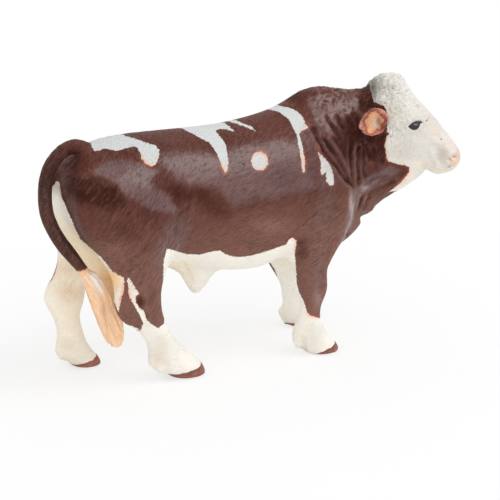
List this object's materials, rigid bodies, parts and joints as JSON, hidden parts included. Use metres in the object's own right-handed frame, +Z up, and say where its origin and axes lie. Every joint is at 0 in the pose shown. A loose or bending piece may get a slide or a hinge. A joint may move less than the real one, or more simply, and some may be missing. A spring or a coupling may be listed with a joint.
{
  "type": "toy farm bull",
  "caption": "Standing polled bull figure of painted plastic, head turned to its right, with a cup-shaped ear on each side, a hanging tail with a switch, and flat soles.",
  "frame": {"origin": "on the ground under the middle of the figure's outline", "axes": "+X towards the nose, +Y towards the animal's left side, +Z up"},
  "size_m": [0.1422, 0.05, 0.0901],
  "materials": {
    "brown_coat": "moulded plastic with chocolate brown paint under a satin gloss, white patches and fine engraved hair",
    "white_face": "moulded plastic with off-white paint and a grey-beige wash in the curls",
    "ear_paint": "moulded plastic with a red-brown rim and a peach hollow",
    "cream_leg": "moulded plastic with warm cream paint, a beige wash and brown hooves"
  },
  "bodies": {
    "root": {"torso": "brown_coat", "tail": "brown_coat", "head": "white_face", "right_ear": "ear_paint", "left_ear": "ear_paint", "hind_right_leg": "cream_leg", "hind_left_leg": "cream_leg", "front_right_leg": "cream_leg", "front_left_leg": "cream_leg"}
  },
  "joints": []
}
